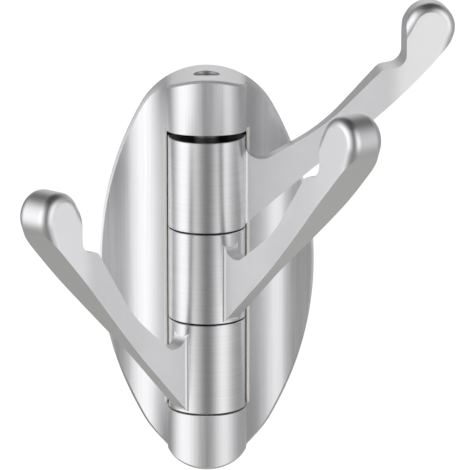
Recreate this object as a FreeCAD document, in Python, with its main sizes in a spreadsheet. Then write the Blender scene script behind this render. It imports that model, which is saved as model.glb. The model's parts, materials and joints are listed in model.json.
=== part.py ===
import FreeCAD, Part
import math
import os
import Sketcher

# Folding wall hook: an oval cast back plate with a half-round column, and three
# arms that swing on one hinge pin between the plate's wings.
#
# Frame: +X to the right, +Y into the wall, +Z up. The origin is the centre of the
# back face, which lies against the wall, so everything stands in front of Y = 0.
# Sizes are in millimetres.

V = FreeCAD.Vector
doc = FreeCAD.newDocument("FoldingWallHook")


# Driving dimensions

SIZES = {
    # back plate
    "plate_width": 54.4,
    "plate_height": 100.0,
    "end_round": 19.0,
    "rim_thickness": 3.0,
    "rim_break": 0.6,
    "column_radius": 10.0,
    "axis_depth": 11.3,
    "flare_end": 19.5,
    "flare_radius": 10.2,
    "valley_round": 1.2,
    # bottom cap, and the window above it that holds the knuckles
    "cap_height": 14.1,
    "window_arch": 1.6,
    "stack_play": 0.4,
    "shoulder_depth": 8.0,
    "side_gap": 0.4,
    # knuckles, washers and pin
    "knuckle_radius": 9.7,
    "knuckle_height": 23.0,
    "knuckle_edge": 0.15,
    "washer_thickness": 0.35,
    "washer_radius": 8.7,
    "pin_radius": 3.3,
    "pin_clearance": 0.06,
    "pin_recess": 0.9,
    "pin_chamfer": 0.5,
    "pin_seat": 8.0,
    # side view of an arm, measured from the pin axis and the knuckle's foot
    "heel_rise": 0.3,
    "root_inset": 0.5,
    "belly_sag": 1.4,
    "sag_share": 0.4,
    "arm_reach": 61.9,
    "crown_rise": 56.2,
    "club_width": 12.4,
    "valley_drop": 15.7,
    "hump_gap": 5.9,
    "hump_drop": 16.5,
    "bend_inset": 1.45,
    "bend_drop": 2.9,
    "notch_rise": 13.9,
    "notch_top": 22.6,
    "lift_step": 4.3,
    "throat_round": 3.4,
    "hump_round": 3.4,
    "notch_round": 4.5,
    "notch_share": 0.95,
    "blade_curve": 50.0,
    # plan view of an arm
    "blade_thickness": 3.9,
    "club_thickness": 10.4,
    "taper_start": 27.0,
    "taper_setback": 13.4,
    "taper_curve": 40.0,
    "root_fillet": 0.9,
    "crown_round": 2.7,
    "bell_inner": 10.9,
    "bell_inner_drop": 6.4,
    "bell_outer": 2.4,
    "bell_outer_drop": 11.5,
    # angle of each arm from straight out, positive to the right
    "upper_angle": 95.0,
    "middle_angle": 38.5,
    "lower_angle": -43.0,
    # concealed wall bracket
    "bracket_thickness": 1.2,
    "bracket_width": 16.0,
    "bracket_inset": 4.5,
    "bracket_clearance": 0.15,
    "screw_inset": 4.0,
    "screw_hole": 4.4,
    "lug_depth": 6.6,
    "lug_width": 9.0,
    "grub_radius": 1.5,
    "head_radius": 4.4,
    "grub_recess": 1.0,
}

# Places that several pieces share: the window's floor, the step from one knuckle to the
# next, the bracket's ends and its screw holes, all measured from the middle of the plate.
FLOOR = "(Sizes.cap_height - Sizes.plate_height / 2)"
PITCH = "(Sizes.knuckle_height + Sizes.washer_thickness)"
BRACKET_END = "(Sizes.plate_height / 2 - Sizes.bracket_inset)"
SCREW_RISE = "(Sizes.plate_height / 2 - Sizes.bracket_inset - Sizes.screw_inset)"

sheet = doc.addObject("Spreadsheet::Sheet", "Sizes")
for row, (alias, value) in enumerate(SIZES.items(), start=1):
    sheet.set("A%d" % row, alias)
    sheet.set("B%d" % row, str(value))
    sheet.setAlias("B%d" % row, alias)
doc.recompute()


def size(alias):
    """Value of one driving dimension."""
    return float(sheet.get(alias))


# Helpers for bodies and sketches

def new_body(name):
    """Empty body whose label names its file."""
    body = doc.addObject("PartDesign::Body", name)
    body.Label = name
    return body


def new_sketch(body, name, role, offset=0.0):
    """Sketch on one of the body's own origin planes, moved along its normal."""
    sketch = body.newObject("Sketcher::SketchObject", name)
    plane = [f for f in body.Origin.OriginFeatures if f.Role == role][0]
    sketch.AttachmentSupport = [(plane, "")]
    sketch.MapMode = "FlatFace"
    sketch.AttachmentOffset = FreeCAD.Placement(V(0, 0, offset), FreeCAD.Rotation())
    return sketch


def drive(sketch, kind, elements, label, formula):
    """Dimension a sketch with a formula of the spreadsheet's values."""
    if kind == "Radius":
        drawn = sketch.Geometry[elements[0]].Radius
    elif kind == "Distance":
        drawn = sketch.Geometry[elements[0]].length()
    else:
        point = sketch.getPoint(elements[-2], elements[-1])
        drawn = point.x if kind == "DistanceX" else point.y
    index = sketch.addConstraint(Sketcher.Constraint(kind, *elements, drawn))
    sketch.renameConstraint(index, label)
    sketch.setExpression("Constraints." + label, formula)


def polygon(sketch, corners):
    """Closed outline of straight edges; every corner is held by two formulas."""
    count = len(corners)
    first = sketch.GeometryCount
    for k in range(count):
        turn = [2 * math.pi * j / count for j in (k, k + 1)]
        start, end = [V(10 * math.cos(a), 10 * math.sin(a), 0) for a in turn]
        sketch.addGeometry(Part.LineSegment(start, end), False)
    for k in range(count):
        after = first + (k + 1) % count
        sketch.addConstraint(Sketcher.Constraint("Coincident", first + k, 2, after, 1))
    for k, (label, across, up) in enumerate(corners):
        drive(sketch, "DistanceX", (-1, 1, first + k, 1), label + "_x", across)
        drive(sketch, "DistanceY", (-1, 1, first + k, 1), label + "_y", up)


def circle(sketch, label, radius, across="0", up="0"):
    """Circle with its centre and radius held by formulas."""
    index = sketch.addGeometry(Part.Circle(V(0, 0, 0), V(0, 0, 1), 3.0), False)
    drive(sketch, "Radius", (index,), label + "_r", radius)
    drive(sketch, "DistanceX", (-1, 1, index, 3), label + "_x", across)
    drive(sketch, "DistanceY", (-1, 1, index, 3), label + "_y", up)
    return index


def feature(body, kind, name, sketch, length=None, reverse=False, both=False):
    """Pad or pocket of a sketch; without a length it cuts right through."""
    item = body.newObject("PartDesign::" + kind, name)
    item.Profile = sketch
    item.Reversed = reverse
    if both:
        item.Midplane = True
    if length is None:
        item.Type = "ThroughAll"
    else:
        item.setExpression("Length", length)
    doc.recompute()
    return item


def edges_where(shape, test):
    """Names of the edges for which test(edge, middle point) is true."""
    names = []
    for number, edge in enumerate(shape.Edges, start=1):
        middle = edge.valueAt((edge.FirstParameter + edge.LastParameter) / 2)
        if test(edge, middle):
            names.append("Edge%d" % number)
    return names


def dress(body, kind, name, formula, test):
    """Fillet or chamfer on the edges of the body's tip that pass a test."""
    base = body.Tip
    item = body.newObject("PartDesign::" + kind, name)
    item.Base = (base, edges_where(base.Shape, test))
    item.setExpression("Radius" if kind == "Fillet" else "Size", formula)
    doc.recompute()
    return item


def near(value, target):
    """True where two lengths agree to a hundredth."""
    return abs(value - target) < 0.01


def stands(edge, axis):
    """True for a straight edge that runs along the axis."""
    run = edge.Vertexes[-1].Point - edge.Vertexes[0].Point
    return near(edge.Length, run.Length) and abs(run.dot(axis)) > 0.999 * run.Length


# Back plate: wings, flares and column are one section, cut to an oval

def rectangle(sketch, label, half_width, low, high, middle="0"):
    """Rectangle about a vertical middle line."""
    polygon(sketch, [
        (label + "_a", middle + " - (" + half_width + ")", low),
        (label + "_b", middle + " + (" + half_width + ")", low),
        (label + "_c", middle + " + (" + half_width + ")", high),
        (label + "_d", middle + " - (" + half_width + ")", high),
    ])


def oval(sketch):
    """Oval of two wide arcs and two end arcs that meet them tangentially."""
    half_width, half_height = size("plate_width") / 2, size("plate_height") / 2
    end = size("end_round")
    joint_x, joint_z = 0.9 * end, half_height - 0.5 * end
    corners = [V(joint_x, -joint_z, 0), V(joint_x, joint_z, 0),
               V(-joint_x, joint_z, 0), V(-joint_x, -joint_z, 0)]
    middles = [V(half_width, 0, 0), V(0, half_height, 0),
               V(-half_width, 0, 0), V(0, -half_height, 0)]
    for k in range(4):
        sketch.addGeometry(Part.Arc(corners[k], middles[k], corners[(k + 1) % 4]), False)
    for k in range(4):
        sketch.addConstraint(Sketcher.Constraint("Tangent", k, 2, (k + 1) % 4, 1))
    depth = "(Sizes.plate_height / 2 - Sizes.end_round)"
    wide = ("((Sizes.plate_width / 2)^2 + " + depth + "^2 - Sizes.end_round^2)"
            " / (Sizes.plate_width - 2 * Sizes.end_round)")
    for label, arc, sign in (("top", 1, ""), ("bottom", 3, "-")):
        drive(sketch, "Radius", (arc,), label + "_r", "Sizes.end_round")
        drive(sketch, "DistanceX", (-1, 1, arc, 3), label + "_x", "0")
        drive(sketch, "DistanceY", (-1, 1, arc, 3), label + "_y", sign + depth)
    for label, arc in (("right", 0), ("left", 2)):
        drive(sketch, "Radius", (arc,), label + "_r", wide)


def window(sketch, half_width):
    """Window outline: a flat floor, straight sides and an arched top."""
    side_top = FLOOR + " + 3 * " + PITCH + " + Sizes.stack_play"
    low, high, wide = -30.0, 30.0, 10.0
    sketch.addGeometry(Part.LineSegment(V(-wide, high, 0), V(-wide, low, 0)), False)
    sketch.addGeometry(Part.LineSegment(V(-wide, low, 0), V(wide, low, 0)), False)
    sketch.addGeometry(Part.LineSegment(V(wide, low, 0), V(wide, high, 0)), False)
    arch = Part.Arc(V(wide, high, 0), V(0, high + 2, 0), V(-wide, high, 0))
    sketch.addGeometry(arch, False)
    sketch.addConstraint(Sketcher.Constraint("Coincident", 0, 2, 1, 1))
    sketch.addConstraint(Sketcher.Constraint("Coincident", 1, 2, 2, 1))
    sketch.addConstraint(Sketcher.Constraint("Coincident", 3, 1, 2, 2))
    sketch.addConstraint(Sketcher.Constraint("Coincident", 3, 2, 0, 1))
    for label, element, sign, up in (
        ("low_left", (0, 2), "-", FLOOR),
        ("low_right", (2, 1), "", FLOOR),
        ("high_left", (0, 1), "-", side_top),
        ("high_right", (2, 2), "", side_top),
    ):
        drive(sketch, "DistanceX", (-1, 1) + element, label + "_x", sign + "(" + half_width + ")")
        drive(sketch, "DistanceY", (-1, 1) + element, label + "_y", up)
    bow = "((" + half_width + ")^2 + Sizes.window_arch^2) / (2 * Sizes.window_arch)"
    drive(sketch, "Radius", (3,), "arch_r", bow)


def make_backplate():
    """Casting with the wings, the column, the window and the recesses behind it."""
    body = new_body("section")
    flare_top = ("-(Sizes.rim_thickness + Sizes.flare_radius"
                 " - sqrt(Sizes.flare_radius^2 - (Sizes.flare_end - Sizes.column_radius)^2))")

    wings = new_sketch(body, "WingSection", "XY_Plane")
    rectangle(wings, "wing", "Sizes.plate_width", "-Sizes.rim_thickness", "0")
    feature(body, "Pad", "Wings", wings, "Sizes.plate_height * 2", both=True)
    flares = new_sketch(body, "FlareSection", "XY_Plane")
    rectangle(flares, "flare", "Sizes.flare_end", flare_top, "0")
    feature(body, "Pad", "Flares", flares, "Sizes.plate_height * 2", both=True)
    scoops = new_sketch(body, "ScoopSection", "XY_Plane")
    for label, sign in (("left", "-"), ("right", "")):
        circle(scoops, label, "Sizes.flare_radius", sign + "Sizes.flare_end",
               "-(Sizes.rim_thickness + Sizes.flare_radius)")
    feature(body, "Pocket", "Scoops", scoops, both=True)
    web = new_sketch(body, "ColumnWeb", "XY_Plane")
    rectangle(web, "web", "Sizes.column_radius", "-Sizes.axis_depth", "0")
    feature(body, "Pad", "Web", web, "Sizes.plate_height * 2", both=True)
    column = new_sketch(body, "ColumnSection", "XY_Plane")
    circle(column, "column", "Sizes.column_radius", "0", "-Sizes.axis_depth")
    feature(body, "Pad", "Column", column, "Sizes.plate_height * 2", both=True)
    reach = size("column_radius")
    inside = size("rim_thickness") + 1
    dress(body, "Fillet", "Valleys", "Sizes.valley_round",
          lambda edge, at: stands(edge, V(0, 0, 1)) and near(abs(at.x), reach)
          and -size("axis_depth") + 0.1 < at.y < -inside)

    prism = new_body("oval")
    outline = new_sketch(prism, "OvalOutline", "XZ_Plane")
    oval(outline)
    feature(prism, "Pad", "Oval", outline, "Sizes.axis_depth + Sizes.column_radius + 1")
    casting = doc.addObject("Part::Common", "OvalCasting")
    casting.Base = body
    casting.Tool = prism
    doc.recompute()

    body = new_body("backplate")
    body.BaseFeature = casting
    doc.recompute()
    front = -size("rim_thickness")
    dress(body, "Chamfer", "RimBreak", "Sizes.rim_break",
          lambda edge, at: not isinstance(edge.Curve, Part.Line) and near(at.y, front)
          and abs(at.x) > size("flare_end"))

    shoulders = new_sketch(body, "ShoulderWindow", "XZ_Plane")
    shoulders.setExpression("AttachmentOffset.Base.z", "Sizes.shoulder_depth")
    window(shoulders, "Sizes.flare_end")
    feature(body, "Pocket", "Shoulders", shoulders, "Sizes.axis_depth + Sizes.column_radius",
            reverse=True)
    pocket = new_sketch(body, "KnucklePocket", "XZ_Plane")
    window(pocket, "Sizes.knuckle_radius + Sizes.side_gap")
    feature(body, "Pocket", "Pocket", pocket, both=True)

    bore = new_sketch(body, "PinBore", "XY_Plane")
    bore.setExpression("AttachmentOffset.Base.z", "Sizes.plate_height / 2")
    circle(bore, "bore", "Sizes.pin_radius", "0", "-Sizes.axis_depth")
    feature(body, "Pocket", "PinHole", bore, "Sizes.plate_height / 2 + Sizes.pin_seat - " + FLOOR)

    slot = new_sketch(body, "BracketSlot", "XZ_Plane")
    end = BRACKET_END + " + Sizes.bracket_clearance"
    rectangle(slot, "slot", "Sizes.bracket_width / 2 + Sizes.bracket_clearance",
              "-(" + end + ")", end)
    feature(body, "Pocket", "Slot", slot, "Sizes.bracket_thickness", reverse=True)
    rooms = new_sketch(body, "LugRooms", "XZ_Plane")
    half = "Sizes.lug_width / 2 + Sizes.bracket_clearance"
    start = SCREW_RISE + " - Sizes.head_radius"
    rectangle(rooms, "upper", half, start, end)
    rectangle(rooms, "lower", half, "-(" + end + ")", "-(" + start + ")")
    feature(body, "Pocket", "Rooms", rooms, "Sizes.lug_depth + Sizes.bracket_clearance",
            reverse=True)
    tapped = new_sketch(body, "GrubHole", "XY_Plane")
    tapped.setExpression("AttachmentOffset.Base.z", "-Sizes.plate_height / 2")
    circle(tapped, "grub", "Sizes.grub_radius", "0",
           "-(Sizes.lug_depth + Sizes.bracket_thickness) / 2")
    feature(body, "Pocket", "Tapped", tapped, "Sizes.bracket_inset + Sizes.screw_inset",
            reverse=True)
    return body


def make_bracket():
    """Steel strip on the wall, with a lug bent forward at each end."""
    body = new_body("wall_bracket")
    strip = new_sketch(body, "Strip", "XZ_Plane")
    rectangle(strip, "strip", "Sizes.bracket_width / 2", "-" + BRACKET_END, BRACKET_END)
    feature(body, "Pad", "Flat", strip, "Sizes.bracket_thickness")
    lugs = new_sketch(body, "Lugs", "XZ_Plane")
    inner = "(" + BRACKET_END + " - Sizes.bracket_thickness)"
    rectangle(lugs, "upper", "Sizes.lug_width / 2", inner, BRACKET_END)
    rectangle(lugs, "lower", "Sizes.lug_width / 2", "-" + BRACKET_END, "-" + inner)
    feature(body, "Pad", "Lugs", lugs, "Sizes.lug_depth")
    holes = new_sketch(body, "ScrewHoles", "XZ_Plane")
    circle(holes, "upper", "Sizes.screw_hole / 2", "0", SCREW_RISE)
    circle(holes, "lower", "Sizes.screw_hole / 2", "0", "-" + SCREW_RISE)
    feature(body, "Pocket", "Holes", holes, both=True)
    return body


def turned(name, profile, base):
    """Round piece on the hinge axis, standing at a height given by a formula."""
    body = new_body(name)
    body.setExpression("Placement.Base.y", "-Sizes.axis_depth")
    body.setExpression("Placement.Base.z", base)
    profile(body)
    return body


def pin_profile(body):
    """Headless pin with chamfered ends."""
    disc = new_sketch(body, "PinSection", "XY_Plane")
    circle(disc, "pin", "Sizes.pin_radius")
    feature(body, "Pad", "Rod", disc,
            "Sizes.plate_height / 2 - Sizes.pin_recess + Sizes.pin_seat - " + FLOOR)
    dress(body, "Chamfer", "Ends", "Sizes.pin_chamfer",
          lambda edge, at: not isinstance(edge.Curve, Part.Line))


def washer_profile(body):
    """Thin ring, smaller than the knuckle that turns on it."""
    ring = new_sketch(body, "RingSection", "XY_Plane")
    circle(ring, "outer", "Sizes.washer_radius")
    circle(ring, "inner", "Sizes.pin_radius + Sizes.pin_clearance")
    feature(body, "Pad", "Ring", ring, "Sizes.washer_thickness")


def grub_profile(body):
    """Small set screw under the plate, up against the bracket's lower lug."""
    disc = new_sketch(body, "GrubSection", "XY_Plane")
    circle(disc, "grub", "Sizes.grub_radius", "0",
           "Sizes.axis_depth - (Sizes.lug_depth + Sizes.bracket_thickness) / 2")
    feature(body, "Pad", "Screw", disc, "Sizes.bracket_inset - Sizes.grub_recess")


# Arms: knuckle and blade are one casting; each arm rises more than the one above it

def shape_flanks(body, name):
    """Keep only what the arm's plan view covers: a thin blade that widens to the club."""
    slab = new_body(name + "_plan")
    plan = new_sketch(slab, "PlanView", "XY_Plane")
    thin = "Sizes.blade_thickness / 2"
    thick = "Sizes.club_thickness / 2"
    root = "-Sizes.knuckle_radius"
    tip = "Sizes.arm_reach * 2"
    wide = "Sizes.arm_reach - Sizes.taper_setback"
    polygon(plan, [
        ("root_near", root, "-" + thin),
        ("start_near", "Sizes.taper_start", "-" + thin),
        ("end_near", wide, "-" + thick),
        ("tip_near", tip, "-" + thick),
        ("tip_far", tip, thick),
        ("end_far", wide, thick),
        ("start_far", "Sizes.taper_start", thin),
        ("root_far", root, thin),
    ])
    feature(slab, "Pad", "Slab", plan, "Sizes.crown_rise * 3", both=True)
    start, end = size("taper_start"), size("arm_reach") - size("taper_setback")
    dress(slab, "Fillet", "TaperCurve", "Sizes.taper_curve",
          lambda edge, at: stands(edge, V(0, 0, 1)) and (near(at.x, start) or near(at.x, end)))
    common = body.newObject("PartDesign::Boolean", "Flanks")
    common.Type = "Common"
    common.setObjects([slab])
    doc.recompute()


# Where the blade bends: a little inside and below the middle of the arm's reach and rise
BEND_REACH = "(Sizes.arm_reach / 2 - Sizes.bend_inset)"
BEND_RISE = "(Sizes.crown_rise / 2 - Sizes.bend_drop + Sizes.lift_step * %d / 2)"


def side_view(sketch, place):
    """Outline of an arm: a blade that rises outward, its belly tangent to a round club."""
    lift = "Sizes.lift_step * %d" % place
    root = "(Sizes.knuckle_radius - Sizes.root_inset)"
    core = "Sizes.knuckle_radius / 2"
    club_x = "(Sizes.arm_reach - Sizes.club_width / 2)"
    club_z = "(Sizes.crown_rise - Sizes.club_width / 2 + " + lift + ")"
    run = "(" + club_x + " - " + root + ")"
    rise = "(" + club_z + " - Sizes.heel_rise)"
    drop = "(Sizes.club_width / 4 + Sizes.belly_sag * (1 - Sizes.sag_share * %d))" % place
    span = "sqrt(" + run + "^2 + " + rise + "^2)"
    neck = "Sizes.arm_reach - Sizes.club_width"
    corners = [
        ("valley", neck, "Sizes.crown_rise - Sizes.valley_drop + " + lift),
        ("hump", neck + " - Sizes.hump_gap", "Sizes.crown_rise - Sizes.hump_drop + " + lift),
        ("bend", BEND_REACH, BEND_RISE % place),
        ("notch", root, "Sizes.notch_rise - " + lift + " / 5"),
        ("notch_top", root, "Sizes.notch_top"),
        ("inner_top", core, "Sizes.notch_top"),
        ("inner_foot", core, "Sizes.heel_rise"),
        ("heel", root, "Sizes.heel_rise"),
        ("knee", root + " + " + run + " / 2 + " + drop + " * " + rise + " / " + span,
         "Sizes.heel_rise + " + rise + " / 2 - " + drop + " * " + run + " / " + span),
    ]
    raised = 5 * place
    drawn = [V(49.5, 41 + raised, 0), V(43.6, 40 + raised, 0), V(29.5, 25 + raised / 2, 0),
             V(9, 14, 0), V(9, 22, 0), V(5, 22, 0), V(5, 0, 0), V(9, 0, 0),
             V(36, 22 + 0.75 * raised, 0)]
    under, over = V(60, 46 + raised, 0), V(49.5, 50 + raised, 0)
    middle = (drawn[-1] + under) / 2 + V(0.4, -0.4, 0)
    count = len(corners)
    belly, club, throat = count - 1, count, count + 1
    for first, last in zip(drawn, drawn[1:]):
        sketch.addGeometry(Part.LineSegment(first, last), False)
    sketch.addGeometry(Part.Arc(drawn[-1], middle, under), False)
    sketch.addGeometry(Part.Arc(under, V(56, 56 + raised, 0), over), False)
    sketch.addGeometry(Part.LineSegment(over, drawn[0]), False)
    for k in range(count - 2):
        sketch.addConstraint(Sketcher.Constraint("Coincident", k, 2, k + 1, 1))
    sketch.addConstraint(Sketcher.Constraint("Coincident", throat, 2, 0, 1))
    sketch.addConstraint(Sketcher.Constraint("Tangent", belly - 1, 2, belly, 1))
    sketch.addConstraint(Sketcher.Constraint("Tangent", belly, 2, club, 1))
    sketch.addConstraint(Sketcher.Constraint("Tangent", club, 2, throat, 1))
    drive(sketch, "Radius", (club,), "club_r", "Sizes.club_width / 2")
    drive(sketch, "DistanceX", (-1, 1, club, 3), "club_x", club_x)
    drive(sketch, "DistanceY", (-1, 1, club, 3), "club_y", club_z)
    for k, (label, across, up) in enumerate(corners):
        drive(sketch, "DistanceX", (-1, 1, k, 1), label + "_x", across)
        drive(sketch, "DistanceY", (-1, 1, k, 1), label + "_y", up)


def round_club(blank, name, place):
    """Round the club's tip with a bell that hugs it and stands clear of throat and belly."""
    club_x = "Sizes.arm_reach - Sizes.club_width / 2"
    club_z = "Sizes.crown_rise - Sizes.club_width / 2 + Sizes.lift_step * %d" % place
    raised = 5 * place
    inner, tip_in = V(45, 44 + raised, 0), V(50, 53 + raised, 0)
    outer, tip_out = V(58, 38 + raised, 0), V(61.5, 48 + raised, 0)
    bell = new_body(name + "_bell")
    outline = new_sketch(bell, "BellOutline", "XZ_Plane")
    outline.addGeometry(Part.LineSegment(outer, tip_out), False)
    outline.addGeometry(Part.Arc(tip_out, V(58, 56 + raised, 0), tip_in), False)
    outline.addGeometry(Part.LineSegment(tip_in, inner), False)
    outline.addGeometry(Part.LineSegment(inner, outer), False)
    outline.addConstraint(Sketcher.Constraint("Tangent", 0, 2, 1, 1))
    outline.addConstraint(Sketcher.Constraint("Tangent", 1, 2, 2, 1))
    outline.addConstraint(Sketcher.Constraint("Coincident", 2, 2, 3, 1))
    outline.addConstraint(Sketcher.Constraint("Coincident", 3, 2, 0, 1))
    drive(outline, "Radius", (1,), "club_r", "Sizes.club_width / 2")
    for label, point, across, up in (
        ("club", (1, 3), "", ""),
        ("inner", (3, 1), " - Sizes.bell_inner", " - Sizes.bell_inner_drop"),
        ("outer", (3, 2), " + Sizes.bell_outer", " - Sizes.bell_outer_drop"),
    ):
        drive(outline, "DistanceX", (-1, 1) + point, label + "_x", club_x + across)
        drive(outline, "DistanceY", (-1, 1) + point, label + "_y", club_z + up)
    room = feature(bell, "Pad", "Room", outline, "Sizes.club_thickness", both=True)
    foot = (size("arm_reach") - size("club_width") / 2
            + (size("bell_outer") - size("bell_inner")) / 2)
    dress(bell, "Fillet", "CrownRound", "Sizes.crown_round",
          lambda edge, at: near(abs(at.y), size("club_thickness") / 2)
          and not near(at.x, foot))

    parts = []
    for kind, label, tool in (("Cut", "_blade", room), ("Common", "_club", bell)):
        part = doc.addObject("Part::" + kind, name + label)
        part.Base = blank
        part.Tool = tool
        parts.append(part)
    casting = doc.addObject("Part::Fuse", name + "_casting")
    casting.Base, casting.Tool = parts
    casting.Refine = True
    doc.recompute()
    return casting


def make_arm(name, place, angle):
    """Arm in its own frame: X outward, Z up, the pin axis on Z, the foot at Z = 0.

    place counts the arms from the top, starting at 0.
    """
    blank = new_body(name + "_blank")
    side = new_sketch(blank, "SideView", "XZ_Plane")
    side_view(side, place)
    feature(blank, "Pad", "Blade", side, "Sizes.club_thickness", both=True)
    across = V(0, 1, 0)
    stub = size("knuckle_radius") - size("root_inset")
    crown = size("crown_rise") + place * size("lift_step")
    neck = size("arm_reach") - size("club_width")
    bend = size("arm_reach") / 2 - size("bend_inset")
    run = "(" + BEND_REACH + " - Sizes.knuckle_radius + Sizes.root_inset)"
    foot = "(Sizes.notch_rise - Sizes.lift_step * %d / 5)" % place
    climb = "(" + BEND_RISE % place + " - " + foot + ")"
    notch_limit = ("Sizes.notch_share * (Sizes.notch_top - " + foot + ") * " + run
                   + " / (" + climb + " + sqrt(" + run + "^2 + " + climb + "^2))")
    groups = (
        ("ThroatRound", "Sizes.throat_round",
         lambda at: near(at.x, neck) and at.z < crown - size("club_width") / 2 - 1),
        ("HumpRound", "Sizes.hump_round", lambda at: near(at.x, neck - size("hump_gap"))),
        ("NotchRound", "min(Sizes.notch_round; " + notch_limit + ")",
         lambda at: near(at.x, stub) and size("heel_rise") + 1 < at.z < size("notch_top") - 1),
        ("BladeCurve", "Sizes.blade_curve", lambda at: near(at.x, bend)),
    )
    for label, radius, place_test in groups:
        dress(blank, "Fillet", label, radius,
              lambda edge, at, test=place_test: stands(edge, across) and test(at))
    shape_flanks(blank, name)

    body = new_body(name)
    body.BaseFeature = round_club(blank, name, place)
    body.setExpression("Placement.Base.y", "-Sizes.axis_depth")
    body.setExpression("Placement.Base.z",
                       FLOOR + " + Sizes.washer_thickness + (2 - %d) * " % place + PITCH)
    body.setExpression("Placement.Rotation.Angle", "Sizes." + angle + " - 90")
    doc.recompute()
    barrel = new_sketch(body, "KnuckleSection", "XY_Plane")
    circle(barrel, "knuckle", "Sizes.knuckle_radius")
    feature(body, "Pad", "Knuckle", barrel, "Sizes.knuckle_height")
    rim = size("knuckle_radius")
    dress(body, "Fillet", "RootFillet", "Sizes.root_fillet",
          lambda edge, at: stands(edge, V(0, 0, 1)) and near(math.hypot(at.x, at.y), rim)
          and at.x > 0)
    eye = new_sketch(body, "Eye", "XY_Plane")
    circle(eye, "eye", "Sizes.pin_radius + Sizes.pin_clearance")
    feature(body, "Pocket", "Bore", eye, both=True)
    dress(body, "Chamfer", "KnuckleRims", "Sizes.knuckle_edge",
          lambda edge, at: near(math.hypot(at.x, at.y), rim)
          and (near(at.z, 0) or near(at.z, size("knuckle_height"))))
    return body


bodies = [make_backplate(), make_bracket()]
bodies.append(turned("hinge_pin", pin_profile, FLOOR + " - Sizes.pin_seat"))
bodies.append(turned("grub_screw", grub_profile, "-Sizes.plate_height / 2 + Sizes.grub_recess"))
for place, name in enumerate(("upper", "middle", "lower")):
    bodies.append(make_arm(name + "_arm", place, name + "_angle"))
    bodies.append(turned(name + "_washer", washer_profile,
                         FLOOR + " + (2 - %d) * " % place + PITCH))
doc.recompute()

# Checks, then one file for each piece

for item in doc.Objects:
    if "Invalid" in item.State or "Error" in item.State:
        raise RuntimeError("%s failed: %s" % (item.Name, item.State))
os.makedirs("parts", exist_ok=True)
for body in bodies:
    shape = body.Shape
    if shape.isNull() or not shape.isValid() or len(shape.Solids) != 1:
        raise RuntimeError("%s is not one valid solid" % body.Label)
    box = shape.BoundBox
    print("%-14s volume %9.1f  x %6.1f..%6.1f  y %6.1f..%6.1f  z %6.1f..%6.1f" % (
        body.Label, shape.Volume, box.XMin, box.XMax, box.YMin, box.YMax, box.ZMin, box.ZMax))
    shape.exportStep("parts/%s.step" % body.Label)
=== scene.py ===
import json
import math

import bmesh
import bpy
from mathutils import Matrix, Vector


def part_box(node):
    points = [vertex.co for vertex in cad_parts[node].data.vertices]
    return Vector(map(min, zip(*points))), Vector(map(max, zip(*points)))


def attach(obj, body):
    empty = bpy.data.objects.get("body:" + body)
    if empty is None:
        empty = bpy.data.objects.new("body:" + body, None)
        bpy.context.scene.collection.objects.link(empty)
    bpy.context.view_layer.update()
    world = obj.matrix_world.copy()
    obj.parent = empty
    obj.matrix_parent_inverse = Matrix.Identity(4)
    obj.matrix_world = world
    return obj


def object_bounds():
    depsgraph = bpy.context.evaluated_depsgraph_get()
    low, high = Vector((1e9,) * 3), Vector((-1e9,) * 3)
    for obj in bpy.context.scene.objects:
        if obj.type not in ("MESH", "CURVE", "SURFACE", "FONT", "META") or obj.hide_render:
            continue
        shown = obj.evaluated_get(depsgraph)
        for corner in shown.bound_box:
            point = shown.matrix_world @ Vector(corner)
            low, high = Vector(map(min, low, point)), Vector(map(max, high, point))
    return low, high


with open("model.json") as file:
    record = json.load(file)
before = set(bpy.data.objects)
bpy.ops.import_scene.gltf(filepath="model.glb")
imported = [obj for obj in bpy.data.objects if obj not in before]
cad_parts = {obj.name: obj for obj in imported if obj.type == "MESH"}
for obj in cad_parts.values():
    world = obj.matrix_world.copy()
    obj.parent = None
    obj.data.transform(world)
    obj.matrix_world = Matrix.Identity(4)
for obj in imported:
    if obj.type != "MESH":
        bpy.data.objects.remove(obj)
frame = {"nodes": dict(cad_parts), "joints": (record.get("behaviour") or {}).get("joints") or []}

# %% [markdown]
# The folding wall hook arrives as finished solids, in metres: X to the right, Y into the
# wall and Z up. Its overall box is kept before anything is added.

solid_low, solid_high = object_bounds()
print("solids from", tuple(solid_low), "to", tuple(solid_high))

# %% [markdown]
# The camera stands in front of the wall and a little above the hook. A long lens from
# about a metre away keeps the column's sides nearly parallel, as in a catalogue picture.
# The camera is aimed with three plain numbers (turn, rise and distance) instead of a
# rotation typed by hand, so that each number can be read and changed by itself. The
# Standard view shows colours as they are, so that a white sheet comes out white.

# %% Camera
MM = 0.001
TURN = math.radians(-0.574)
RISE = math.radians(13.44)
DISTANCE = 989.7 * MM
AIM = Vector((7.085, -12.0, 8.741)) * MM
FOCAL_LENGTH = 301.9
FILM_WIDTH = 36.0

lens = bpy.data.cameras.new("camera")
lens.lens = FOCAL_LENGTH
lens.sensor_width = FILM_WIDTH
camera = bpy.data.objects.new("camera", lens)
bpy.context.collection.objects.link(camera)
toward_camera = Vector((
    math.sin(TURN) * math.cos(RISE), -math.cos(TURN) * math.cos(RISE), math.sin(RISE)))
camera.location = AIM + DISTANCE * toward_camera
camera.rotation_euler = toward_camera.to_track_quat("Z", "Y").to_euler()
bpy.context.scene.camera = camera
bpy.context.scene.view_settings.view_transform = "Standard"
print("camera at", tuple(round(part, 3) for part in camera.location))

# %% [markdown]
# The studio and every finish are made of shader nodes: small steps of arithmetic, joined
# by links. They could be laid out by hand in the node editor, but with a few helpers a
# long chain reads like a recipe. What the helpers pass on is called a source. It is a node
# with one of its outputs, or simply a number or a colour, so every step can take any of
# them.

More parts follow.
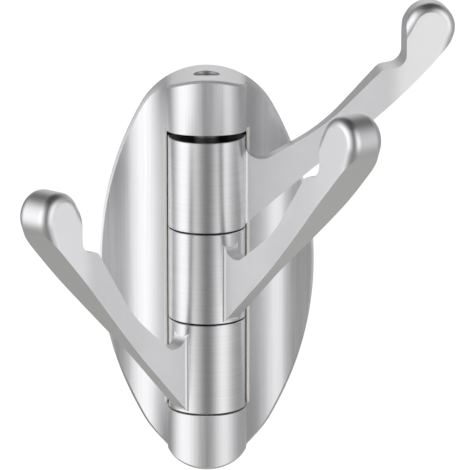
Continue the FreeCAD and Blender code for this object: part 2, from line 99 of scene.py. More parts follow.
# %% Helpers that join nodes
def feed(tree, source, node, socket):
    """Put a source into a socket: a (node, output) pair, a colour or a number."""
    if not isinstance(source, tuple):
        node.inputs[socket].default_value = source
    elif isinstance(source[0], float):
        node.inputs[socket].default_value = (*source, 1.0)
    else:
        tree.links.new(source[0].outputs[source[1]], node.inputs[socket])


def maths(tree, operation, *sources):
    """Value of one step of arithmetic on its sources."""
    node = tree.nodes.new("ShaderNodeMath")
    node.operation = operation
    for socket, source in enumerate(sources):
        feed(tree, source, node, socket)
    return node, "Value"


def coordinates(tree, output):
    """X, Y and Z of one kind of texture coordinates."""
    place = tree.nodes.new("ShaderNodeTexCoord")
    parts = tree.nodes.new("ShaderNodeSeparateXYZ")
    feed(tree, (place, output), parts, "Vector")
    return parts


print("node helpers ready")

# %% [markdown]
# Two kinds of step turn up everywhere. One spreads a source between two values, which is
# how one noise can drive roughness, tint and wear together. Nearly all of a noise lies
# between 0.3 and 0.7, so a spread starts and stops there unless it is told otherwise. The
# other step blends two sources with a mask, a number that is 0 where the first one shows
# and 1 where the second does. A Mix node has sockets for numbers, vectors and colours in
# one row and under the same names, so here they are picked by their place in that row.

# %% Helpers that spread and blend
NOISE_LOW, NOISE_HIGH = 0.3, 0.7
NUMBER_SOCKETS, NUMBER_RESULT = (0, 2, 3), 0
COLOUR_SOCKETS, COLOUR_RESULT = (0, 6, 7), 2


def spread(tree, source, low, high, start=NOISE_LOW, stop=NOISE_HIGH):
    """Number that goes from low to high while its source goes from start to stop."""
    node = tree.nodes.new("ShaderNodeMapRange")
    for socket, value in (("Value", source), ("From Min", start), ("From Max", stop),
                          ("To Min", low), ("To Max", high)):
        feed(tree, value, node, socket)
    return node, "Result"


def blend_numbers(tree, mask, first, second):
    """Number that goes from the first source to the second with the mask."""
    node = tree.nodes.new("ShaderNodeMix")
    for socket, source in zip(NUMBER_SOCKETS, (mask, first, second)):
        feed(tree, source, node, socket)
    return node, NUMBER_RESULT


def blend_colours(tree, mask, first, second):
    """Colour that goes from the first source to the second with the mask."""
    node = tree.nodes.new("ShaderNodeMix")
    node.data_type = "RGBA"
    for socket, source in zip(COLOUR_SOCKETS, (mask, first, second)):
        feed(tree, source, node, socket)
    return node, COLOUR_RESULT


print("a spread starts at", NOISE_LOW, "and stops at", NOISE_HIGH)

# %% [markdown]
# Bare metal shows its surroundings, so the studio is part of its finish. Round the hook
# stand a dark slit where the camera looks out, a bright panel on the left, a narrower one
# on the right, and softer walls between. A ring of lamps could do it, but a list of lights
# is easier to tune and gives no noise. Each entry is an angle in degrees, counted from the
# camera's side to the right, and the light there. Below the walls lies a dim, warm ground.

# %% Lights round the hook
WALLS = [
    (-180, 0.72), (-145, 0.14), (-122, 0.32), (-106, 0.66), (-94, 1.08), (-84, 1.38),
    (-50, 1.38), (-40, 1.04), (-30, 0.80), (-21, 0.58), (-12, 0.30), (-4, 0.18), (6, 0.16),
    (15, 0.32), (24, 0.66), (33, 1.04), (42, 1.30), (54, 1.30), (62, 1.10), (73, 0.80),
    (84, 0.52), (97, 0.40), (112, 0.34), (150, 0.42), (180, 0.72),
]
GROUND = [(-180, 0.50), (-110, 0.32), (-60, 0.24), (60, 0.26), (110, 0.42), (180, 0.50)]
GROUND_WARMTH = 0.95
print("brightest wall:", max(light for _, light in WALLS))
print("darkest wall:", min(light for _, light in WALLS))

# %% [markdown]
# A colour ramp turns such a list into light. The ramp runs from 0 to 1, so the camera's
# side lies in its middle and a full turn is its whole length. A new ramp has two stops
# already, and the first two lights take them. In a world, the Generated coordinates are
# the direction in which a ray leaves, and the arc tangent of its sideways and forward
# parts is its angle round the hook.

# %% Studio walls and ground
FULL_TURN = 360.0
CAMERA_SIDE = 0.5


def share(degrees):
    """Place on the ramp of an angle round the hook."""
    return CAMERA_SIDE + degrees / FULL_TURN


def round_ramp(tree, turn, lights, warmth=1.0):
    """Light that changes with the angle round the hook; warmth below 1 takes blue away."""
    node = tree.nodes.new("ShaderNodeValToRGB")
    node.color_ramp.interpolation = "EASE"
    stops = node.color_ramp.elements
    there = len(stops)
    for number, (degrees, light) in enumerate(lights):
        stop = stops[number] if number < there else stops.new(share(degrees))
        stop.position = share(degrees)
        stop.color = (light, light, light * warmth, 1.0)
    feed(tree, turn, node, "Fac")
    return node, "Color"


world = bpy.data.worlds.new("studio")
bpy.context.scene.world = world
world.use_nodes = True
studio = world.node_tree
studio.nodes.clear()
ray = coordinates(studio, "Generated")
forward = maths(studio, "MULTIPLY", (ray, "Y"), -1.0)
angle = maths(studio, "ARCTAN2", (ray, "X"), forward)
turn = spread(studio, angle, 0.0, 1.0, -math.pi, math.pi)
wall_light = round_ramp(studio, turn, WALLS)
ground_light = round_ramp(studio, turn, GROUND, GROUND_WARMTH)
print("studio walls:", len(WALLS), "stops; ground:", len(GROUND), "stops")

# %% [markdown]
# The studio also changes with height. The arms' undersides mirror the ground, and a dark
# ceiling over the walls makes the dark crowns of the clubs. Both borders lie between two
# angles over the horizon, in degrees, and are soft, because a sharp one would draw a line
# on every round form. The camera itself sees a plain white sheet behind everything: Light
# Path tells its rays from the mirrored ones.

# %% Ceiling, ground and the sheet behind
GROUND_TO_WALLS = (-36, -16)
WALLS_TO_CEILING = (32, 56)
CEILING = (0.03, 0.03, 0.03)
WHITE = (1.0, 1.0, 1.0)


def above(low, high):
    """Mask of the rays that climb more steeply than the two angles, soft between them."""
    mask = spread(studio, (ray, "Z"), 0.0, 1.0,
                  math.sin(math.radians(low)), math.sin(math.radians(high)))
    mask[0].interpolation_type = "SMOOTHSTEP"
    return mask


room = blend_colours(studio, above(*GROUND_TO_WALLS), ground_light, wall_light)
room = blend_colours(studio, above(*WALLS_TO_CEILING), room, CEILING)
light_path = studio.nodes.new("ShaderNodeLightPath")
shown = blend_colours(studio, (light_path, "Is Camera Ray"), room, WHITE)
glow = studio.nodes.new("ShaderNodeBackground")
feed(studio, shown, glow, "Color")
feed(studio, (glow, "Background"), studio.nodes.new("ShaderNodeOutputWorld"), "Surface")
print("the studio is made of", len(studio.nodes), "nodes")

# %% [markdown]
# The floor is a plain white sheet, far enough below that the hook leaves no shadow on it.
# The metal doesn't mirror it, as if the hook were photographed on a stand over the sheet.
# Every material starts as a Principled shader, and what is the same all over it is set
# straight on that shader's own sockets.

# %% Floor
FLOOR_DROP = 0.30
HALF_FLOOR = 6.0
PAPER = (0.86, 0.86, 0.86)
PAPER_ROUGHNESS = 0.9
PAPER_GLOW = 0.8


def new_material(name, plain_values):
    """Principled material with its plain values, its node tree and its shader."""
    material = bpy.data.materials.new(name)
    material.use_nodes = True
    tree = material.node_tree
    shader = tree.nodes["Principled BSDF"]
    for socket, value in plain_values.items():
        feed(tree, value, shader, socket)
    return material, tree, shader


floor_mesh = bpy.data.meshes.new("floor")
corners = [(-1, -1), (1, -1), (1, 1), (-1, 1)]
floor_mesh.from_pydata(
    [(x * HALF_FLOOR, y * HALF_FLOOR, 0) for x, y in corners], [], [(0, 1, 2, 3)])
floor = bpy.data.objects.new("floor", floor_mesh)
floor.location = (0, 0, solid_low[2] - FLOOR_DROP)
floor.visible_glossy = False
bpy.context.collection.objects.link(floor)
paper, _, _ = new_material("floor_paper", {
    "Base Color": PAPER, "Roughness": PAPER_ROUGHNESS,
    "Emission Color": WHITE, "Emission Strength": PAPER_GLOW})
floor_mesh.materials.append(paper)
print("floor at", round(floor.location.z, 3))

# %% [markdown]
# An effect that several finishes share is built once, as a node group, and placed in each
# of them with its own values. It could be copied instead, but then a change would have to
# be made in every copy. All sockets are plain numbers, so whoever places a group sees at
# once what can be tuned. Both satin effects are the mean of two noises, as a real surface
# is worked twice.

# %% Helpers for node groups
def new_group(name, inputs, outputs):
    """Empty node group of plain numbers, with its input node and its output node."""
    group = bpy.data.node_groups.new(name, "ShaderNodeTree")
    for label, value in inputs.items():
        socket = group.interface.new_socket(
            label, in_out="INPUT", socket_type="NodeSocketFloat")
        socket.default_value = value
    for label in outputs:
        group.interface.new_socket(label, in_out="OUTPUT", socket_type="NodeSocketFloat")
    return group, group.nodes.new("NodeGroupInput"), group.nodes.new("NodeGroupOutput")


def noise(tree, place, scale, detail):
    """Noise over a place; the scale is how many of its grains fit in a metre."""
    node = tree.nodes.new("ShaderNodeTexNoise")
    for socket, source in (("Vector", place), ("Scale", scale), ("Detail", detail)):
        feed(tree, source, node, socket)
    return node, "Fac"


def mean(tree, first, second):
    """Mean of two sources."""
    return maths(tree, "MULTIPLY", maths(tree, "ADD", first, second), 0.5)


print("group helpers ready")

# %% [markdown]
# Brushing is the same effect on every satin face: fine scratches, far longer than they are
# wide. It is a noise that is stretched along the scratch, once fine and once coarse. The
# group takes a place whose first part runs across the scratches and whose second runs
# along them, and hands back a height for the bump and a shade for colour and roughness.

# %% Brushing group
FINE_AND_COARSE = (1.0, 3.0)
SCRATCH_DETAIL = 2.0


def make_brushing():
    """Node group: scratches that run along one direction."""
    group, start, end = new_group(
        "brushing",
        {"Across": 0.0, "Along": 0.0, "Third": 0.0, "Pitch": 0.2 * MM, "Length": 12 * MM},
        ("Height", "Shade"))
    layers = []
    for factor in FINE_AND_COARSE:
        wide = maths(group, "MULTIPLY", (start, "Pitch"), factor)
        long = maths(group, "MULTIPLY", (start, "Length"), factor)
        stretched = group.nodes.new("ShaderNodeCombineXYZ")
        for axis, label, size in (("X", "Across", wide), ("Y", "Along", long),
                                  ("Z", "Third", wide)):
            feed(group, maths(group, "DIVIDE", (start, label), size), stretched, axis)
        layers.append(noise(group, (stretched, "Vector"), 1.0, SCRATCH_DETAIL))
    feed(group, layers[0], end, "Height")
    feed(group, mean(group, *layers), end, "Shade")
    return group


BRUSHING = make_brushing()
print("group", BRUSHING.name, "has", len(BRUSHING.nodes), "nodes")

# %% [markdown]
# The blades are not brushed but blasted and tumbled, so their satin has a grain without a
# direction, with softer clouds in it where the tumbling media rubbed a little longer. Two
# noises do it: one as fine as the grain, one nearly as wide as a fingertip.

# %% Tumbled grain group
GRAIN_DETAIL = 2.0
CLOUD_DETAIL = 3.0


def make_tumbled():
    """Node group: even fine grain with soft clouds."""
    group, start, end = new_group(
        "tumbled_grain", {"Grain": 0.15 * MM, "Cloud": 6 * MM}, ("Height", "Shade", "Clouds"))
    place = (group.nodes.new("ShaderNodeTexCoord"), "Object")
    grain, clouds = (
        noise(group, place, maths(group, "DIVIDE", 1.0, (start, label)), detail)
        for label, detail in (("Grain", GRAIN_DETAIL), ("Cloud", CLOUD_DETAIL)))
    feed(group, grain, end, "Height")
    feed(group, clouds, end, "Clouds")
    feed(group, mean(group, grain, clouds), end, "Shade")
    return group


TUMBLED = make_tumbled()
print("group", TUMBLED.name, "has", len(TUMBLED.nodes), "nodes")

# %% [markdown]
# All the castings are zinc with a satin nickel plating, a neutral grey with the least bit
# of blue. One flat grey would look like plastic, so every metal wanders between two tones
# with a group's shade, and takes its bump from that group's height. Satin that was worked
# in one direction also draws its highlights out across it, and its tangent says which way.

# %% Metal helpers
NICKEL = (0.84, 0.84, 0.855)


def new_metal(name, colour, roughness, anisotropy=0.0):
    """Principled metal; its colour and roughness are middle values, for plain viewers."""
    return new_material(name, {"Base Color": colour, "Metallic": 1.0,
                               "Roughness": roughness, "Anisotropic": anisotropy})


def place_group(tree, group, **sources):
    """Group node, with its inputs set from their sources."""
    node = tree.nodes.new("ShaderNodeGroup")
    node.node_tree = group
    for label, source in sources.items():
        feed(tree, source, node, label)
    return node


def toned(colour, factor):
    """The colour made lighter or darker."""
    return tuple(min(1.0, part * factor) for part in colour)


def two_tones(tree, shade, dark, light):
    """Colour that wanders between two tones with a shade."""
    return blend_colours(tree, spread(tree, shade, 0.0, 1.0), dark, light)


def bump(tree, shader, height, depth):
    """Bump of the given real depth on the shader's normal."""
    node = tree.nodes.new("ShaderNodeBump")
    feed(tree, depth, node, "Distance")
    feed(tree, height, node, "Height")
    feed(tree, (node, "Normal"), shader, "Normal")


def grain_direction(tree, shader, tangent):
    """Direction across the scratches, in which highlights are drawn out."""
    node = tree.nodes.new("ShaderNodeCombineXYZ")
    for axis, amount in zip("XYZ", tangent):
        feed(tree, amount, node, axis)
    feed(tree, (node, "Vector"), shader, "Tangent")


print("nickel is", NICKEL)

# %% [markdown]
# The window of the plate was milled out of its column after plating, so the shoulders
# beside the knuckles and the window's floor are bare zinc, warmer and duller than nickel.
# These faces could get a material slot of their own, but a solid's mesh stays as it came.
# A mask finds them instead, by the depth and the heights to which the cutter went.

# %% Plate: the milled faces
COLUMN = 10.0 * MM
CUT_DEPTH = -8.0 * MM
WINDOW_FLOOR = -35.9 * MM
WINDOW_TOP = 36.2 * MM
CUTTER_SLACK = 0.06 * MM


def milled_mask(tree, spot, side):
    """Mask of the milled faces: the shoulders beside the knuckles and the window's floor."""
    at_depth = maths(tree, "COMPARE", (spot, "Y"), CUT_DEPTH, CUTTER_SLACK)
    in_window = maths(tree, "COMPARE", (spot, "Z"), (WINDOW_FLOOR + WINDOW_TOP) / 2,
                      (WINDOW_TOP - WINDOW_FLOOR) / 2)
    shoulder = maths(tree, "MULTIPLY", at_depth, in_window)
    at_floor = maths(tree, "COMPARE", (spot, "Z"), WINDOW_FLOOR, CUTTER_SLACK)
    in_column = maths(tree, "LESS_THAN", side, COLUMN)
    floor_face = maths(tree, "MULTIPLY", at_floor, in_column)
    return maths(tree, "MAXIMUM", shoulder, floor_face)


print("milled window from", WINDOW_FLOOR / MM, "to", WINDOW_TOP / MM, "mm")

# %% [markdown]
# The plate's round upper edges were rubbed until they turned matt. They are the faces that
# look up, but not straight up: the cap's flat top kept its shine. The surface's own normal
# tells both, so one mask begins where a face starts to look up and ends near the top.

# %% Plate: the rubbed edges
RUBBED_FROM = (0.08, 0.25)
RUBBED_UP_TO = (0.82, 0.90)


def rubbed_mask(tree):
    """Mask of the round upper edges, by how far their surface looks up."""
    upward = (coordinates(tree, "Normal"), "Z")
    begins = spread(tree, upward, 0.0, 1.0, *RUBBED_FROM)
    ends = spread(tree, upward, 1.0, 0.0, *RUBBED_UP_TO)
    return maths(tree, "MULTIPLY", begins, ends)


print("rubbed between", RUBBED_FROM[0], "and", RUBBED_UP_TO[1], "of straight up")

# %% [markdown]
# Beside the column the casting flares out to its thin wings. On the real plate that curve
# runs on softly, where the solid's scoop ends at a line. So a bump leans the flare a little
# further outward, and lets the lean die away over the first millimetres of the wing. Its
# height is worked out in millimetres from the distance to the middle: a straight slope,
# and then a parabola that levels out.

# %% Plate: the flare's soft end
FLARE_START = 10.3
FLARE_END = 19.5
FLARE_FADE = 3.2
FLARE_SLOPE = 0.24
WALL_FACE = -0.3 * MM


def flare_height(tree, spot, side):
    """Height in millimetres that carries the flare's curve softly on into the wings."""
    out = maths(tree, "MAXIMUM", maths(tree, "DIVIDE", side, MM), FLARE_START)
    inner = maths(tree, "MAXIMUM", maths(tree, "SUBTRACT", FLARE_END, out), 0.0)
    inner = maths(tree, "MULTIPLY", inner, FLARE_SLOPE)
    outer = maths(tree, "MAXIMUM", maths(tree, "SUBTRACT", FLARE_END + FLARE_FADE, out), 0.0)
    outer = maths(tree, "MINIMUM", outer, FLARE_FADE)
    outer = maths(tree, "POWER", outer, 2.0)
    outer = maths(tree, "MULTIPLY", outer, FLARE_SLOPE / (2 * FLARE_FADE))
    in_front = maths(tree, "LESS_THAN", (spot, "Y"), WALL_FACE)
    return maths(tree, "MULTIPLY", maths(tree, "ADD", inner, outer), in_front)


print("the flare fades between", FLARE_END, "and", FLARE_END + FLARE_FADE, "mm")

# %% [markdown]
# The plate, with its column and caps, is brushed up and down. Up and down scratches draw
# every highlight out sideways, so the studio's dark slit turns into a soft grey there. The
# valley right beside the column is painted a bit darker, as painted shade.
# The milled and the rubbed faces are rougher, and less like a mirror, than the rest.

# %% Plate: the finish
PLATE_TONES = (0.90, 1.08)
# The valley tone is painted shade: it darkens the colour right beside the column.
VALLEY_SHADE_TONE = 0.88
VALLEY_SHADE_BEGINS = (COLUMN - 0.2 * MM, COLUMN + 0.1 * MM)
VALLEY_SHADE_FADES = (11.5 * MM, 14.5 * MM)
BARE_ZINC = (0.97, 0.94, 0.87)
SCRATCH_DEPTH = 0.0015
PLATE_ROUGHNESS = (0.30, 0.36)
DULL_ROUGHNESS = (0.62, 0.70)
DULL_METALLIC = 0.55


def make_plate_metal():
    """Satin nickel, brushed up and down, with the marks of milling and rubbing."""
    metal, tree, shader = new_metal(
        "satin_nickel_plate", NICKEL, roughness=0.32, anisotropy=0.7)
    spot = coordinates(tree, "Object")
    side = maths(tree, "ABSOLUTE", (spot, "X"))
    lines = place_group(tree, BRUSHING, Across=(spot, "X"), Along=(spot, "Z"),
                        Third=(spot, "Y"), Pitch=0.19 * MM, Length=18 * MM)
    shade = (lines, "Shade")
    scratch = maths(tree, "MULTIPLY", (lines, "Height"), SCRATCH_DEPTH)
    relief = maths(tree, "ADD", scratch, flare_height(tree, spot, side))
    bump(tree, shader, relief, depth=1.0 * MM)
    # Painted shade: the colour darkens in the valley right beside the column.
    valley_shade = maths(tree, "MULTIPLY", spread(tree, side, 1.0, 0.0, *VALLEY_SHADE_FADES),
                   spread(tree, side, 0.0, 1.0, *VALLEY_SHADE_BEGINS))
    milled = milled_mask(tree, spot, side)
    brushed = two_tones(tree, shade, *(toned(NICKEL, tone) for tone in PLATE_TONES))
    colour = blend_colours(tree, valley_shade, brushed, toned(NICKEL, VALLEY_SHADE_TONE))
    feed(tree, blend_colours(tree, milled, colour, BARE_ZINC), shader, "Base Color")
    dull = maths(tree, "MAXIMUM", milled, rubbed_mask(tree))
    roughness = blend_numbers(tree, dull, spread(tree, shade, *PLATE_ROUGHNESS),
                              spread(tree, shade, *DULL_ROUGHNESS))
    feed(tree, roughness, shader, "Roughness")
    feed(tree, spread(tree, dull, 1.0, DULL_METALLIC), shader, "Metallic")
    grain_direction(tree, shader, (1, 0, 0))
    return metal


PLATE_METAL = make_plate_metal()
print("plate wears", PLATE_METAL.name)

# %% [markdown]
# The knuckles and the pin were turned on a lathe, so their scratches run round the pin's
# axis. That axis stands upright in the column, and its place comes with the first joint.
# The brushing needs a length along each scratch, which is the angle round the axis times
# the radius of the turned barrel, and one across, for which height and distance are added
# up: so the lines lie side by side on a knuckle's wall and are rings on its flat ends. The
# brushing group does the rest, placed inside this one.

# %% Turned lines group
AXIS_Y = frame["joints"][0]["pos_m"][1]


def make_turned_lines():
    """Node group: brushing that runs round the pin's axis, and the distance to that axis."""
    group, start, end = new_group(
        "turned_lines", {"Barrel": 10 * MM, "Pitch": 0.2 * MM, "Length": 12 * MM},
        ("Height", "Shade", "Radius"))
    spot = coordinates(group, "Object")
    depth = maths(group, "SUBTRACT", (spot, "Y"), AXIS_Y)
    flat = group.nodes.new("ShaderNodeCombineXYZ")
    feed(group, (spot, "X"), flat, "X")
    feed(group, depth, flat, "Y")
    radius = group.nodes.new("ShaderNodeVectorMath")
    radius.operation = "LENGTH"
    feed(group, (flat, "Vector"), radius, "Vector")
    across = maths(group, "ADD", (spot, "Z"), (radius, "Value"))
    round_angle = maths(group, "ARCTAN2", (spot, "X"), depth)
    along = maths(group, "MULTIPLY", round_angle, (start, "Barrel"))
    lines = place_group(group, BRUSHING, Across=across, Along=along, Third=across,
                        Pitch=(start, "Pitch"), Length=(start, "Length"))
    for label, source in (("Height", (lines, "Height")), ("Shade", (lines, "Shade")),
                          ("Radius", (radius, "Value"))):
        feed(group, source, end, label)
    return group


TURNED_LINES = make_turned_lines()
print("the pin's axis stands at Y =", round(AXIS_Y / MM, 2), "mm")

# %% [markdown]
# Each arm is one casting with two finishes: a turned knuckle, and a tumbled blade with its
# club. The border is the knuckle's own radius, so a mask from the distance to the pin's
# axis parts them without cutting the mesh. The same distance finds the club and the fillet
# where the blade grows out of the knuckle. The surface's normal finds the rest: the blade's
# two flanks look squarely sideways, and the knuckle's flat ends look straight up or down.
# All three arms are marked alike, so their masks are one group. It only has to be told to
# which side a blade points, as a turn in radians.

# %% Arms: the marks group
KNUCKLE = 9.7 * MM
BLADE_BORDER = (KNUCKLE + 0.02 * MM, KNUCKLE + 0.25 * MM)
FILLET = (KNUCKLE + 0.2 * MM, KNUCKLE + 0.9 * MM)
CLUB = (45.0 * MM, 50.0 * MM)
SQUARELY_SIDEWAYS = (0.955, 0.985)
STRAIGHT_UP = (0.90, 0.97)


def make_arm_marks():
    """Node group: masks of an arm's blade, flanks, club face, fillet and the knuckle's flat
    ends, which get painted shade.
    """
    group, start, end = new_group(
        "arm_marks", {"Radius": 0.0, "Turn": 0.0},
        ("Blade", "Flank", "Matt", "Club", "Fillet", "EndShade"))
    radius, turned = (start, "Radius"), (start, "Turn")
    facing = coordinates(group, "Normal")
    sideways = maths(group, "ADD",
                     maths(group, "MULTIPLY", (facing, "X"), maths(group, "COSINE", turned)),
                     maths(group, "MULTIPLY", (facing, "Y"), maths(group, "SINE", turned)))
    flank = spread(group, maths(group, "ABSOLUTE", sideways), 0.0, 1.0, *SQUARELY_SIDEWAYS)
    flat_end = spread(group, maths(group, "ABSOLUTE", (facing, "Z")), 0.0, 1.0, *STRAIGHT_UP)
    blade = spread(group, radius, 0.0, 1.0, *BLADE_BORDER)
    knuckle = spread(group, blade, 1.0, 0.0, start=0.0, stop=1.0)
    matt = maths(group, "MULTIPLY", blade, flank)
    club = maths(group, "MULTIPLY", spread(group, radius, 0.0, 1.0, *CLUB), matt)
    fillet = maths(group, "MULTIPLY", spread(group, radius, 1.0, 0.0, *FILLET), blade)
    # Mask of the knuckle's flat ends, which are painted black as painted shade.
    end_shade = maths(group, "MULTIPLY", knuckle, flat_end)
    for label, mask in (("Blade", blade), ("Flank", flank), ("Matt", matt), ("Club", club),
                        ("Fillet", fillet), ("EndShade", end_shade)):
        feed(group, mask, end, label)
    return group


ARM_MARKS = make_arm_marks()
print("group", ARM_MARKS.name, "has", len(ARM_MARKS.nodes), "nodes")

# %% [markdown]
# The flanks are the dullest faces of an arm, because nothing but the tumbling touched them.
# The face of the club is painted paler, as painted light, and the fillet beside the knuckle
# is painted white, as a painted highlight. All three spread the light more than polished
# metal does. More roughness alone would only blur the studio in them, so they lose some of
# their Metallic too, and a club painted paler loses more of it.

# %% Arms: rubbed and worn places
FLANK_METALLIC = 0.5
FILLET_LOSS = 0.4
# This white is a painted highlight along the fillet beside the knuckle.
FILLET_HIGHLIGHT = (1.0, 1.0, 1.0)
# The club tone and each arm's club factor make the club's face paler: painted light.
CLUB_PAINTED_TONE = 1.01
TUMBLED_TONES = (0.98, 1.04)


def arm_metallic(tree, marks, club_painted_light):
    """How much of a mirror each place of an arm is."""
    plain = spread(tree, (marks, "Matt"), 1.0, FLANK_METALLIC)
    # Painted light: a club painted paler also loses more of its Metallic.
    club_loss = spread(tree, (marks, "Club"), 0.0, club_painted_light - 1.0)
    fillet_loss = spread(tree, (marks, "Fillet"), 0.0, FILLET_LOSS)
    return maths(tree, "SUBTRACT", maths(tree, "SUBTRACT", plain, club_loss), fillet_loss)


def tumbled_colour(tree, marks, grain, blade_painted_light, club_painted_light):
    """Colour of a blade, with painted light on its club's face and a painted highlight on its
    fillet.
    """
    # Painted light: each arm's blade and club are toned lighter by their own factors.
    tones = (toned(NICKEL, tone * blade_painted_light) for tone in TUMBLED_TONES)
    colour = two_tones(tree, (grain, "Shade"), *tones)
    club = toned(NICKEL, CLUB_PAINTED_TONE * blade_painted_light * club_painted_light)
    colour = blend_colours(tree, (marks, "Club"), colour, club)
    # Painted highlight: the fillet beside the knuckle is painted white.
    return blend_colours(tree, (marks, "Fillet"), colour, FILLET_HIGHLIGHT)


print("flanks keep", FLANK_METALLIC, "of their Metallic")

# %% [markdown]
# Now the finish of an arm comes together. The blade mask chooses between the turned and the
# tumbled side of colour, roughness and bump alike. The knuckle's flat ends run against the
# dark washers and are painted black, as painted shade. The three arms differ in where their
# blade points and in the painted light on blade and club, so they are three materials from
# one recipe.

# %% Arms: the finish
KNUCKLE_TONES = (0.91, 1.05)
KNUCKLE_ROUGHNESS = (0.31, 0.36)
EDGE_ROUGHNESS = (0.36, 0.42)
FLANK_ROUGHNESS = (0.66, 0.72)
# Near black for the knuckle's flat ends: painted shade.
END_SHADE = (0.012, 0.012, 0.011)
# The two light factors of each arm are painted light on its blade and its club's face.
ARMS = (
    # node, degrees to the right, painted light of the blade, painted light of the club's face
    ("upper_arm", 95.0, 1.04, 1.25),
    ("middle_arm", 38.5, 1.0, 1.0),
    ("lower_arm", -43.0, 1.0, 1.12),
)


def make_arm_metal(node, degrees, blade_painted_light, club_painted_light):
    """Satin nickel with a turned knuckle and a tumbled blade."""
    metal, tree, shader = new_metal(
        "satin_nickel_" + node, NICKEL, roughness=0.34, anisotropy=0.4)
    lines = place_group(tree, TURNED_LINES, Barrel=KNUCKLE, Pitch=0.17 * MM, Length=12 * MM)
    grain = place_group(tree, TUMBLED, Grain=0.14 * MM, Cloud=6 * MM)
    marks = place_group(tree, ARM_MARKS, Radius=(lines, "Radius"), Turn=math.radians(degrees))
    blade = (marks, "Blade")

    height = blend_numbers(tree, blade, (lines, "Height"), (grain, "Height"))
    bump(tree, shader, height, depth=0.0006 * MM)
    feed(tree, arm_metallic(tree, marks, club_painted_light), shader, "Metallic")
    tumbled = blend_numbers(tree, (marks, "Flank"),
                            spread(tree, (grain, "Shade"), *EDGE_ROUGHNESS),
                            spread(tree, (grain, "Shade"), *FLANK_ROUGHNESS))
    turned = spread(tree, (lines, "Shade"), *KNUCKLE_ROUGHNESS)
    feed(tree, blend_numbers(tree, blade, turned, tumbled), shader, "Roughness")

    tones = (toned(NICKEL, tone) for tone in KNUCKLE_TONES)
    clean = blend_colours(tree, blade, two_tones(tree, (lines, "Shade"), *tones),
                          tumbled_colour(tree, marks, grain, blade_painted_light, club_painted_light))
    # Painted shade: the knuckle's flat ends are painted near black.
    colour = blend_colours(tree, (marks, "EndShade"), clean, END_SHADE)
    feed(tree, colour, shader, "Base Color")
    grain_direction(tree, shader, (0, 0, 1))
    return metal


ARM_METALS = {node: make_arm_metal(node, *numbers) for node, *numbers in ARMS}
print("arm finishes ready:", len(ARM_METALS))

# %% [markdown]
# Two black strips stand beside the wall bracket, behind the knuckles, as painted shade. They
# fill the gap round the knuckles, so that it looks black instead of showing the sheet behind.
# Each could be a plain cube, but cut foam has soft edges, so the bar gets rounded corners.

# %% Shade strips: the bars
STRIP_IN = 8.3 * MM
STRIP_OUT = 10.05 * MM
STRIP_THICK = 2.4 * MM
STRIP_BACK = 0.15 * MM
STRIP_ROUND = 0.25 * MM
END_ROOM = 0.1 * MM
KNUCKLE_TOP = 35.2 * MM


def shade_strip(name, side):
    """Black bar of painted shade beside the bracket, from the window's floor to the top of the
    knuckles.
    """
    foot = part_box("lower_washer")[0][2] + END_ROOM
    top = KNUCKLE_TOP - END_ROOM
    middle = Vector((side * (STRIP_IN + STRIP_OUT) / 2, -STRIP_BACK - STRIP_THICK / 2,
                     (foot + top) / 2))
    size = Vector((STRIP_OUT - STRIP_IN, STRIP_THICK, top - foot))
    form = bmesh.new()
    bmesh.ops.create_cube(form, size=1.0)
    for corner in form.verts:
        corner.co = middle + Vector(part * length for part, length in zip(corner.co, size))
    bmesh.ops.bevel(form, geom=form.edges[:], offset=STRIP_ROUND, segments=3, profile=0.5,
                    affect="EDGES")
    mesh = bpy.data.meshes.new(name)
    form.to_mesh(mesh)
    form.free()
    strip = bpy.data.objects.new(name, mesh)
    bpy.context.collection.objects.link(strip)
    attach(strip, "base")
    return strip


# Painted shade: two black bars that make the gap round the knuckles look black.
shade_strips = [shade_strip("left_shade_strip", -1), shade_strip("right_shade_strip", 1)]
for strip in shade_strips:
    print(strip.name, "is", round(strip.dimensions.z / MM, 1), "mm tall")

# %% [markdown]
# Foam is a mass of tiny open cells. A Voronoi texture, which is the distance to the nearest
# of many scattered points, makes such cells, and as a bump it gives the black its tooth.

# %% Shade strips: the foam
FOAM_CELL = 0.4 * MM
SHADE_STRIP_BLACK = (0.012, 0.012, 0.013)
FOAM_ROUGHNESS = 0.9


def cell_pattern(tree, size):
    """Cells of about that size over the object."""
    place = tree.nodes.new("ShaderNodeTexCoord")
    cells = tree.nodes.new("ShaderNodeTexVoronoi")
    feed(tree, 1.0 / size, cells, "Scale")
    feed(tree, (place, "Object"), cells, "Vector")
    return cells


# The strips' near-black material is painted shade in the gap round the knuckles.
foam, tree, shader = new_material(
    "black_shade_foam", {"Base Color": SHADE_STRIP_BLACK, "Roughness": FOAM_ROUGHNESS})
bump(tree, shader, (cell_pattern(tree, FOAM_CELL), "Distance"), depth=0.1 * MM)
for strip in shade_strips:
    strip.data.materials.append(foam)
print("foam cells are", round(FOAM_CELL / MM, 2), "mm wide")

# %% [markdown]
# The pin and the set screw are turned steel, darker than the nickel round them. They take
# the same turned lines as the knuckles, only finer and round a smaller radius.

# %% Turned steel
PIN_RADIUS = 3.3 * MM
STEEL = (0.46, 0.46, 0.47)
STEEL_TONES = ((0.38, 0.38, 0.39), (0.52, 0.52, 0.53))
STEEL_ROUGHNESS = (0.26, 0.40)

STEEL_METAL, tree, shader = new_metal("turned_steel", STEEL, roughness=0.32, anisotropy=0.4)
rings = place_group(tree, TURNED_LINES, Barrel=PIN_RADIUS, Pitch=0.12 * MM, Length=8 * MM)
bump(tree, shader, (rings, "Height"), depth=0.003 * MM)
feed(tree, spread(tree, (rings, "Shade"), *STEEL_ROUGHNESS), shader, "Roughness")
feed(tree, two_tones(tree, (rings, "Shade"), *STEEL_TONES), shader, "Base Color")
grain_direction(tree, shader, (0, 0, 1))
print(STEEL_METAL.name, "for a pin of", round(PIN_RADIUS / MM, 1), "mm radius")

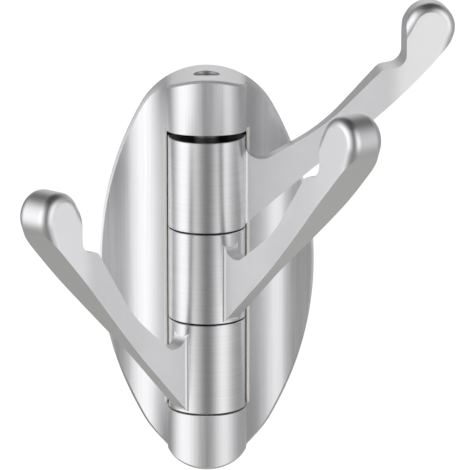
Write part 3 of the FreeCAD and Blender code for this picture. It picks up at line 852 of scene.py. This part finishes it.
# %% [markdown]
# The wall bracket is bent from zinc sheet. Zinc cools into large flat flakes, each with its
# own grey and its own shine. The cells of a Voronoi texture come with a random colour each,
# so its red can choose a flake's tone and its green a flake's roughness.

# %% Zinc sheet
FLAKE = 3.5 * MM
SHEET = (0.62, 0.62, 0.63)
SHEET_TONES = ((0.54, 0.55, 0.57), (0.70, 0.71, 0.72))
SHEET_ROUGHNESS = (0.34, 0.52)

ZINC_METAL, tree, shader = new_metal("zinc_sheet", SHEET, roughness=0.42)
flake = tree.nodes.new("ShaderNodeSeparateColor")
feed(tree, (cell_pattern(tree, FLAKE), "Color"), flake, "Color")
feed(tree, blend_colours(tree, (flake, "Red"), *SHEET_TONES), shader, "Base Color")
feed(tree, spread(tree, (flake, "Green"), *SHEET_ROUGHNESS, start=0.0, stop=1.0),
     shader, "Roughness")
grain = place_group(tree, TUMBLED, Grain=0.2 * MM, Cloud=8 * MM)
bump(tree, shader, (grain, "Height"), depth=0.002 * MM)
print(ZINC_METAL.name, "with flakes of", round(FLAKE / MM, 1), "mm")

# %% [markdown]
# The washers are a dark plastic, so their Metallic is 0. Moulded plastic has an even fine
# grain as well, and grease darkens it in patches, for which the group's clouds serve.

# %% Dark washers
PLASTIC = (0.02, 0.02, 0.021)
PLASTIC_TONES = ((0.014, 0.014, 0.015), (0.03, 0.03, 0.031))
PLASTIC_ROUGHNESS = (0.5, 0.7)

WASHER_PLASTIC, tree, shader = new_material(
    "dark_washer", {"Base Color": PLASTIC, "Roughness": 0.6, "Metallic": 0.0})
grain = place_group(tree, TUMBLED, Grain=0.25 * MM, Cloud=3 * MM)
feed(tree, two_tones(tree, (grain, "Clouds"), *PLASTIC_TONES), shader, "Base Color")
feed(tree, spread(tree, (grain, "Shade"), *PLASTIC_ROUGHNESS), shader, "Roughness")
bump(tree, shader, (grain, "Height"), depth=0.004 * MM)
print(WASHER_PLASTIC.name, "is plastic")

# %% [markdown]
# A solid is dressed by putting its material into the slots it came with. Its mesh and its
# place stay as they were made.

# %% Give the finishes to the solids
FINISH = {
    **ARM_METALS,
    "backplate": PLATE_METAL,
    "hinge_pin": STEEL_METAL,
    "grub_screw": STEEL_METAL,
    "wall_bracket": ZINC_METAL,
    "upper_washer": WASHER_PLASTIC,
    "middle_washer": WASHER_PLASTIC,
    "lower_washer": WASHER_PLASTIC,
}
for node, material in FINISH.items():
    for slot in frame["nodes"][node].material_slots:
        slot.material = material
    print(node, "wears", material.name)
